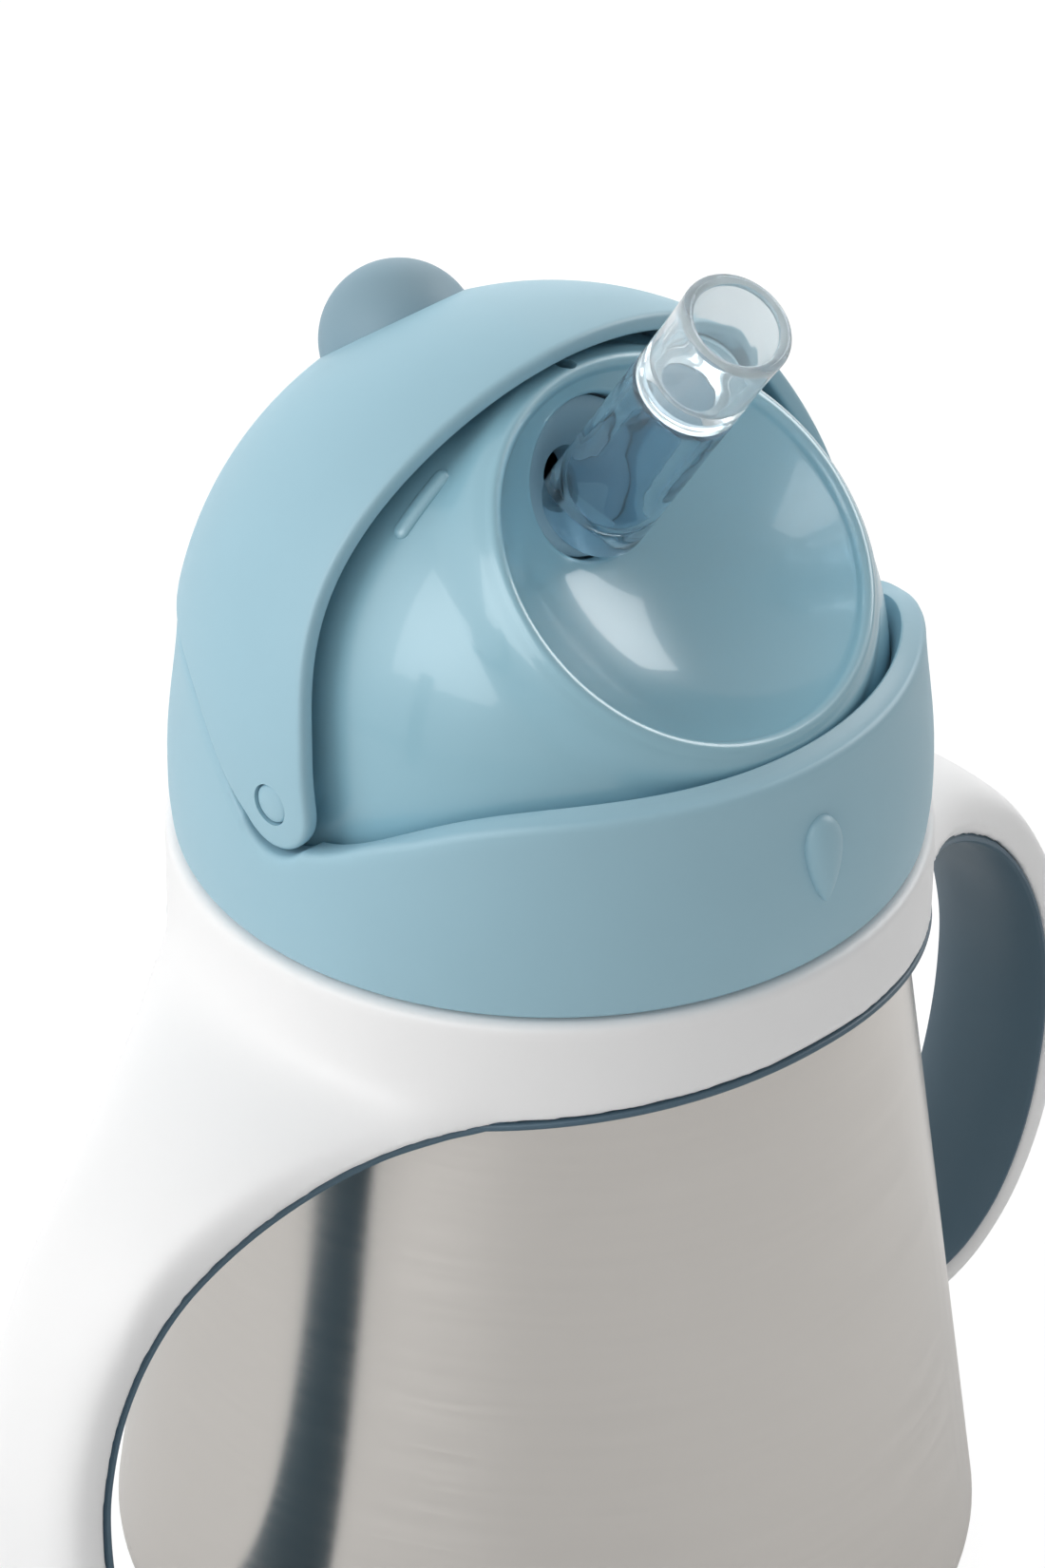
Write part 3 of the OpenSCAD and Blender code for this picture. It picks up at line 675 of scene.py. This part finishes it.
def slerp(p, q, f):
    """Rows of directions between p and q at the shares f, along great circles."""
    w = np.arccos(np.clip((p * q).sum(-1), -1, 1))[None, :, None]
    f = np.asarray(f)[:, None, None]
    return (np.sin((1 - f) * w) * p + np.sin(f * w) * q) / np.sin(w)


def skin(d):
    """Radius of the dome's skin in the directions d: the scoop's bead stands 1.2 mm over the rest
    of the dome, which falls away from it within 5 mm."""
    away = np.arccos(np.clip(d @ SCOOP_AXIS, -1, 1)) - math.asin(SCOOP_RIM_R / DOME_R)
    return DOME_R - (DOME_R - DOME_SKIN) * smoothstep((away * DOME_R - 1.3) / 5.0)


def dome_grid(cols=256):
    """Rows from the hole's wall over bowl, bead, dome and skirt, then back up the inner side."""
    a = np.linspace(0, 2 * np.pi, cols, endpoint=False)
    ax = SCOOP_AXIS
    rim_in = math.degrees(math.asin(SCOOP_RIM_R / SCOOP_R))
    rim_out = math.degrees(math.asin(SCOOP_RIM_R / DOME_R))
    step = 1.3  # distance from the rim's corner at which its bead begins, mm
    soft = 0.55  # radius of the hole's rounded edge, mm
    # directions from the scoop's centre point back to the hinge, so the column angle is mirrored
    hole = circle_on(-HOLE_AXIS, math.degrees(math.asin((HOLE_R + soft) / SCOOP_R)), -a)
    edge = circle_on(-ax, rim_in - math.degrees(step / SCOOP_R), -a)
    bowl = SCOOP_C + SCOOP_R * slerp(hole, edge, np.linspace(0, 1, 40))
    # rounded edge of the hole, then the hole's wall
    e1 = np.array([1.0, 0, 0])
    e2 = np.cross(-HOLE_AXIS, e1)
    out = np.cos(-a)[:, None] * e1 + np.sin(-a)[:, None] * e2
    top = bowl[0]
    tube = []
    for q in np.radians([20, 45, 70, 90]):
        tube.append(top - out * soft * np.sin(q) - HOLE_AXIS * soft * (1 - np.cos(q)))
    tube.append(tube[-1] - HOLE_AXIS * 0.9)
    tube = np.array(tube[::-1])
    # bead on the rim: from the bowl's tangent over a small arc to the dome's tangent
    corner = DOME_R * circle_on(ax, rim_out, a)
    inner_start = bowl[-1]
    outer_start = DOME_R * circle_on(ax, rim_out + math.degrees(step / DOME_R), a)
    up = unit(unit(corner - inner_start) + unit(corner - outer_start))
    radial = unit(outer_start - inner_start)
    radial = unit(radial - up * (radial * up).sum(-1, keepdims=True))
    peak = corner - up * 0.12
    bead = []
    for q in np.radians([-62, -45, -30, -15, 0, 15, 30, 45, 62]):
        bead.append(peak - up * 0.75 * (1 - np.cos(q)) + radial * 0.75 * np.sin(q))
    bead = np.array(bead)
    fill_in = inner_start + (bead[0] - inner_start) * np.array([0.35, 0.7])[:, None, None]
    fill_out = bead[-1] + (outer_start - bead[-1]) * np.array([0.3, 0.65])[:, None, None]
    equator = np.stack([np.cos(a), np.sin(a), 0 * a], 1)
    dome = slerp(outer_start / DOME_R, equator, np.linspace(0, 1, 64))
    dome *= skin(dome)[..., None]
    drop = np.array([2.0, 7.0, 13.0, 13.7])
    skirt = DOME_SKIN * equator[None] - np.array([0, 0, 1.0]) * drop[:, None, None]
    skirt[-1, :, :2] *= 1 - 0.3 / DOME_SKIN
    # inside: skirt, dome and scoop walls at their thickness
    inner_r = DOME_SKIN - DOME_T
    in_skirt = ((DOME_SKIN - 1.4) * equator[None]
                - np.array([0, 0, 1.0]) * drop[::-1][:, None, None])
    far = math.sqrt(SCOOP_C @ SCOOP_C)
    back_r = SCOOP_R + DOME_T
    along = (far**2 + inner_r**2 - back_r**2) / (2 * far)
    meet = math.sqrt(inner_r**2 - along**2)
    ring_dir = circle_on(ax, math.degrees(math.asin(meet / inner_r)), a)
    in_dome = inner_r * slerp(equator, ring_dir, np.linspace(0, 1, 16))
    from_scoop = unit(in_dome[-1] - SCOOP_C)
    hole_in = circle_on(-HOLE_AXIS, math.degrees(math.asin(HOLE_R / back_r)), -a)
    in_bowl = SCOOP_C + back_r * slerp(from_scoop, hole_in, np.linspace(0, 1, 16))[1:]
    grid = np.concatenate([tube, bowl, fill_in, bead, fill_out, dome, skirt[1:], in_skirt,
                           in_dome, in_bowl], 0)
    return grid + HINGE


def rib_grid(a0, a1, y, r=0.8, rows=32, cols=24):
    """Small round-ended rib along the dome in the plane of constant y, angles from +X in degrees."""
    f = np.linspace(0, 1, rows)
    ang = np.radians(a0 + (a1 - a0) * f)
    size = math.sqrt(DOME_SKIN**2 - y**2)
    mid = np.stack([size * np.cos(ang), np.full(rows, y), size * np.sin(ang)], 1)
    out = unit(mid)
    mid = out * skin(out)[:, None]
    side = np.array([0, 1.0, 0])
    side = unit(side - out * (out @ side)[:, None])
    length = size * math.radians(abs(a1 - a0))
    d = np.minimum(f, 1 - f) * length
    rad = r * np.sqrt(np.clip(1 - (1 - np.clip(d / r, 0, 1)) ** 2, 0.01, 1))
    b = np.linspace(0, 2 * np.pi, cols, endpoint=False)
    ring = (np.cos(b)[None, :, None] * side[:, None, :]
            + 0.6 * np.sin(b)[None, :, None] * out[:, None, :])
    return mid[:, None, :] + rad[:, None, None] * ring + HINGE


dome = piece("dome", [(dome_grid(), True), (rib_grid(118.5, 132.5, -1.8), False),
                      (rib_grid(47.5, 61.5, -1.8), False)], gloss, sharp=55)
vent_at = HINGE + np.array([0, -1.5, DOME_R])
vent_hole = lathe([(VENT_R, -3.5), (VENT_R, 1.5)], vent_at, VENT_AXIS, 32)
cut(dome, "vent_hole", [(vent_hole, False)])
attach(dome, "lid")
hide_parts("lid_dome")

# %% [markdown]
# ## Flip cover
# A band cut from a thin sphere, with a round-ended arm down to each pin. Its outline is drawn in
# the side view: the front edge is the collar's front rim turned by the cover's travel, so it
# meets that rim when shut, and the rear edge runs along the collar's rear rim.

# %% Cover
def spin(p, a):
    """Turns [y, z] points by a degrees."""
    a = math.radians(a)
    return np.stack([p[:, 0] * math.cos(a) - p[:, 1] * math.sin(a),
                     p[:, 0] * math.sin(a) + p[:, 1] * math.cos(a)], 1)


def cover_outline(count=760):
    """Closed outline as directions on the sphere, evenly spaced: front edge, arm, rear edge at +X,
    and the mirror of that at -X."""
    y = -np.linspace(36, 6, 400)
    front = spin(np.stack([y, rim(y) + 0.35], 1), -TRAVEL)
    front = front[(front**2).sum(1) < COVER_R**2 * 0.9995]
    y = np.linspace(3.2, 33.9, 300)
    rear = np.stack([y, rim(y) + 0.35], 1)
    rear = rear[(rear**2).sum(1) < COVER_R**2 * 0.9995]
    # the arm's circle, from the front edge's end round the lower side to the rear edge's start
    a0 = math.degrees(math.atan2(front[-1, 1], front[-1, 0]))
    a0 = a0 if a0 > 0 else a0 + 360
    start = max(a0, 172.0)
    end = 360 + math.degrees(math.atan2(rear[0, 1], rear[0, 0])) - 2
    arm = arc(0, 0, ARM_R, start, end, 60)
    rear = rear[rear[:, 0] > arm[-1, 0] + 0.5]
    side = np.vstack([front, arm, rear])
    # two smoothing passes take the corners out where the arm meets the edges
    d = np.r_[0, np.cumsum(np.linalg.norm(np.diff(side, axis=0), axis=1))]
    u = np.linspace(0, d[-1], count * 2)
    side = np.stack([np.interp(u, d, side[:, i]) for i in (0, 1)], 1)
    kernel = np.hanning(33)
    kernel /= kernel.sum()
    pad = np.vstack([np.repeat(side[:1], 16, 0), side, np.repeat(side[-1:], 16, 0)])
    side = np.stack([np.convolve(pad[:, i], kernel, "valid") for i in (0, 1)], 1)
    x = np.sqrt(np.clip(COVER_R**2 - (side**2).sum(1), 0, None))
    half = np.stack([x, side[:, 0], side[:, 1]], 1)
    mirror = half[::-1] * np.array([-1.0, 1, 1])
    loop = np.vstack([half, mirror])
    closed = np.vstack([loop, loop[:1]])
    d = np.r_[0, np.cumsum(np.linalg.norm(np.diff(closed, axis=0), axis=1))]
    u = np.linspace(0, d[-1], count, endpoint=False)
    loop = np.stack([np.interp(u, d, closed[:, i]) for i in range(3)], 1)
    return unit(loop)


def cover_grid():
    """Outer sheet from its middle to the outline, a rounded edge, and the inner sheet back."""
    o = cover_outline()
    tangent = unit(np.roll(o, -1, 0) - np.roll(o, 1, 0))
    inward = unit(np.cross(o, tangent))
    middle = unit(np.array([0, 1.0, 1.0]))
    if ((middle - o) * inward).sum() < 0:
        inward = -inward
    # edge section: (how far inside the outline, radius)
    edge = [(0.7, COVER_R), (0.45, 33.78), (0.25, 33.68), (0.1, 33.5), (0.02, 33.25), (0.0, 32.9),
            (0.0, 32.55), (0.05, 32.35), (0.2, 32.18), (0.45, COVER_IN)]
    rows = [unit(o + inward * e / COVER_R) * r for e, r in edge]
    shares = np.linspace(0.02, 1, 44)[:-1]
    first, last = unit(rows[0]), unit(rows[-1])
    mid = np.broadcast_to(middle, o.shape)
    outer = COVER_R * slerp(mid, first, shares)
    inner = COVER_IN * slerp(mid, last, shares)[::-1]
    return np.concatenate([outer, np.array(rows), inner], 0) + HINGE


cover = piece("flip_cover", [(cover_grid(), False)], satin, sharp=60)
pin_hole = lathe([(PIN_HOLE_R, -40), (PIN_HOLE_R, 40)], HINGE, (1, 0, 0), 64)
cut(cover, "pin_hole", [(pin_hole, False)])
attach(cover, "flip_cover")
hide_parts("cover")

# %% [markdown]
# ## Ball on the cover
# A soft ball, moulded in slate elastomer, that a thumb pushes to flip the cover.

# %% Ball
def ball_profile():
    """(r, s) rows from the hinge outwards: the part of the ball outside the cover's wall."""
    at = COVER_R - 2.2
    ball = 7.2
    low = math.asin((32.3 - at) / ball)
    a = np.linspace(low, np.pi / 2 - 0.02, 40)
    return np.stack([ball * np.cos(a), at + ball * np.sin(a)], 1)


ball = piece("cover_ball", [(lathe(ball_profile(), HINGE, BALL_AXIS, 96), False)], slate)
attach(ball, "flip_cover")
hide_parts("cover_knob")

# %% [markdown]
# ## Hinge pins
# Two pins with slightly domed ends, flush with the cover's arms.

# %% Pins
pin_rows = [(PIN_R, 28.8), (PIN_R, 33.3), (1.74, 33.45), (1.6, 33.56), (1.2, 33.66), (0.6, 33.72),
            (0.2, 33.74)]
for side, name in ((1, "right"), (-1, "left")):
    pin = piece("hinge_pin_" + name, [(lathe(pin_rows, HINGE, (side, 0, 0), 48), False)], satin)
    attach(pin, "lid")
    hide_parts("pivot_pin_" + name)

# %% [markdown]
# ## Straw spout
# Clear silicone in three mouldings: the base that grips the hole's edge, the thick lower tube and
# the wider tip with its rounded mouth.

# %% Spout
origin = HINGE + SPOUT_ROOT


def along(s):
    """Point on the spout's axis, in metres."""
    return tuple(((origin + SPOUT_AXIS * s) / 1000).tolist())


tube_rows = np.vstack([
    [(2.3, 0.2), (3.0, -1.2), (3.6, -1.5)], arc(3.9, 0.4, 1.1, -60, 0, 4),
    [(5.0, 1.6), (5.0, 5), (5.0, 9), (5.0, 13), (5.0, 17), (5.0, 20.0), (4.95, 20.3), (4.8, 20.45)],
    [(3.2, 20.45), (2.9, 20.3), (2.8, 20.0), (2.75, 17), (2.6, 13), (2.6, 9), (2.7, 6.5), (3.3, 5.2),
     (3.5, 4.0), (3.3, 2.8), (2.6, 1.8)]])
tip_rows = np.vstack([
    [(3.0, 20.55), (4.8, 20.55), (4.95, 20.7), (5.0, 21.0), (5.0, 24), (5.0, 27), (5.07, 29.5)],
    arc(4.55, 30.53, 0.57, 0, 180, 10),
    [(3.93, 29.5), (3.85, 26), (3.85, 23.4), (3.8, 22.9), (3.5, 22.4), (3.1, 22.1), (2.8, 21.8),
     (2.75, 21.2), (2.8, 20.7)]])
tube = piece("spout_tube", [(lathe(tube_rows, origin, SPOUT_AXIS, 96), True)], clear)
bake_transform(tube)
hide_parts("spout_lower")
tip = piece("spout_mouth", [(lathe(tip_rows, origin, SPOUT_AXIS, 96), True)], clear_tip)
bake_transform(tip)
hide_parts("spout_tip")

hole_at = HINGE + HOLE_C
base_rows = np.vstack([
    [(2.2, -6.0), (3.1, -6.2), (3.9, -5.6), (5.2, -3.6), (8.1, -2.9), (8.3, -2.4), (8.1, -1.9)],
    [(7.2, -1.7), (7.2, -0.8), (7.05, -0.45), (6.6, -0.35), (5.8, -0.6), (4.8, -1.1), (3.8, -1.8)],
    [(2.6, -2.6), (2.2, -4.0)]])
# the seat's silicone carries painted shade of the hole
base = piece("spout_seat", [(lathe(base_rows, hole_at, HOLE_AXIS, 96), True)], shaded_seat_silicone)
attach(base, "lid")
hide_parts("spout_base")

# %% [markdown]
# ## Floor
# A white table under the cup, which shows as white with a faint shadow.

# %% Floor and cards
def card(name, centre, normal, up, width, height, colour):
    """Flat matt card, sizes in metres, that faces normal."""
    normal, up = Vector(normal).normalized(), Vector(up)
    right = up.cross(normal).normalized()
    up = normal.cross(right).normalized()
    c = Vector(centre)
    corners = [c + right * (x * width / 2) + up * (y * height / 2)
               for x, y in ((-1, -1), (1, -1), (1, 1), (-1, 1))]
    mesh = bpy.data.meshes.new(name)
    mesh.from_pydata([tuple(p) for p in corners], [], [(0, 1, 2, 3)])
    obj = bpy.data.objects.new(name, mesh)
    bpy.context.scene.collection.objects.link(obj)
    m, tree, shader = material(name)
    shader.inputs["Base Color"].default_value = hexc(colour)
    shader.inputs["Roughness"].default_value = 0.8
    mesh.materials.append(m)
    return obj


floor = card("table", (0, 0, 0), (0, 0, 1), (0, 1, 0), 4.0, 4.0, "#e6e6e6")
# the table shows as white with a faint shadow, and lights the cup as plain paper would
tree = floor.data.materials[0].node_tree
paper = tree.nodes["Principled BSDF"].outputs[0]
eye_ray = add(tree, "LightPath").outputs["Is Camera Ray"]
share = add(tree, "Math", {0: eye_ray, 1: 0.85}, operation="MULTIPLY")
glow = add(tree, "Emission", {"Color": (1, 1, 1, 1), "Strength": 1.1})
both = add(tree, "MixShader", {0: share.outputs[0], 1: paper, 2: glow.outputs[0]})
tree.links.new(both.outputs[0], tree.nodes["Material Output"].inputs["Surface"])
print("table", [round(d, 2) for d in floor.dimensions])

# %% [markdown]
# ## Camera
# A long lens that looks down on the cup from the front left, rolled by less than half a degree.

# %% Camera
AZ, EL, ROLL = math.radians(-44.0), math.radians(33.66), math.radians(0.42)
back = Vector((math.sin(AZ) * math.cos(EL), -math.cos(AZ) * math.cos(EL), math.sin(EL)))
right0 = Vector((math.cos(AZ), math.sin(AZ), 0))
up0 = back.cross(right0)
right = math.cos(ROLL) * right0 + math.sin(ROLL) * up0
up = -math.sin(ROLL) * right0 + math.cos(ROLL) * up0
camera = bpy.data.cameras.new("camera")
camera.sensor_width = 36
camera.lens = 178.65
camera.shift_x = -0.0177
camera.shift_y = 0.01224
camera.clip_start, camera.clip_end = 0.05, 20
eye = bpy.data.objects.new("camera", camera)
bpy.context.scene.collection.objects.link(eye)
place = Matrix((right, up, back)).transposed().to_4x4()
place.translation = Vector((0, 0, 0.0825)) + 0.7 * back
eye.matrix_world = place
bpy.context.scene.camera = eye
print("camera lens", camera.lens, "mm")

# %% [markdown]
# ## Light
# Two windows show only in reflections, and three soft lamps light the cup without a mirror image:
# from the left, from above and from behind. A dark card gives the steel its upright dark stripe,
# and a plain room closes the scene.

# %% Light
def lamp(name, direction, distance, width, height, power):
    """White area lamp aimed at the lid from a direction; sizes in metres, power in watts."""
    light = bpy.data.lights.new(name, "AREA")
    light.shape, light.size, light.size_y = "RECTANGLE", width, height
    light.energy = power
    obj = bpy.data.objects.new(name, light)
    bpy.context.scene.collection.objects.link(obj)
    d = Vector(direction).normalized()
    obj.location = Vector((0, 0, 0.1)) + d * distance
    obj.rotation_euler = d.to_track_quat("Z", "Y").to_euler()
    return obj


def view_dir(x, y, z):
    """Direction from screen right, screen up and towards the camera."""
    return right * x + up * y + back * z


lamp("window_left", view_dir(-0.52, 0.1, 0.85), 0.9, 0.62, 0.55, 3.0).visible_diffuse = False
# the room's own light: from the left, from above and from behind, without a mirror image
for name, direction, power in (("soft_left", view_dir(-0.86, 0.22, 0.46), 3.0),
                               ("soft_top", view_dir(-0.1, 0.95, 0.2), 0.5),
                               ("soft_back", view_dir(0.1, 0.72, -0.65), 4.6)):
    lamp(name, direction, 0.9, 0.6, 0.6, power).visible_glossy = False
# a second window that shows in the scoop; the ring's right side stays in shade
pane = lamp("window_right", view_dir(0.74, 0.66, -0.1), 0.9, 0.55, 0.6, 5.5)
pane.visible_diffuse = False

card_side = view_dir(-0.55, -0.1, 0.62)
flag = card("dark_card", Vector((0, 0, -0.04)) + card_side * 0.7, -card_side, (0, 0, 1), 0.05, 0.3,
            "#0c0d10")
flag.visible_camera = False
flag.visible_shadow = False
flag.visible_diffuse = False

world = bpy.data.worlds.new("room")
bpy.context.scene.world = world
world.use_nodes = True
tree = world.node_tree
tree.nodes.clear()
path = add(tree, "LightPath")
seen = add(tree, "Math", {0: path.outputs["Is Camera Ray"], 1: path.outputs["Is Transmission Ray"]},
           operation="MAXIMUM")
# the room is brighter on the left of the view than on the right
where = add(tree, "TexCoord").outputs["Generated"]
side = add(tree, "VectorMath", {0: where, 1: tuple(right)}, operation="DOT_PRODUCT")
tone = add(tree, "MapRange", {"Value": side.outputs["Value"], "From Min": -0.8, "From Max": 0.9,
                              "To Min": 0.72, "To Max": 0.38})
# what polished surfaces mirror is brighter than the room's mean light
mirror = add(tree, "Math", {0: path.outputs["Is Glossy Ray"], 1: 0.25}, operation="MULTIPLY")
tone = add(tree, "Math", {0: tone.outputs[0], 1: mirror.outputs[0]}, operation="ADD")
grey = add(tree, "CombineColor", {0: tone.outputs[0], 1: tone.outputs[0], 2: tone.outputs[0]})
mix = add(tree, "Mix", {0: seen.outputs[0], 6: grey.outputs[0], 7: (1, 1, 1, 1)}, data_type="RGBA")
ground = add(tree, "Background", {"Color": mix.outputs[2], "Strength": 1.0})
add(tree, "OutputWorld", {"Surface": ground.outputs[0]})
bpy.context.scene.view_settings.view_transform = "Standard"
print("lamps", [light.name for light in bpy.data.lights])

# %% Finish
bpy.context.view_layer.update()
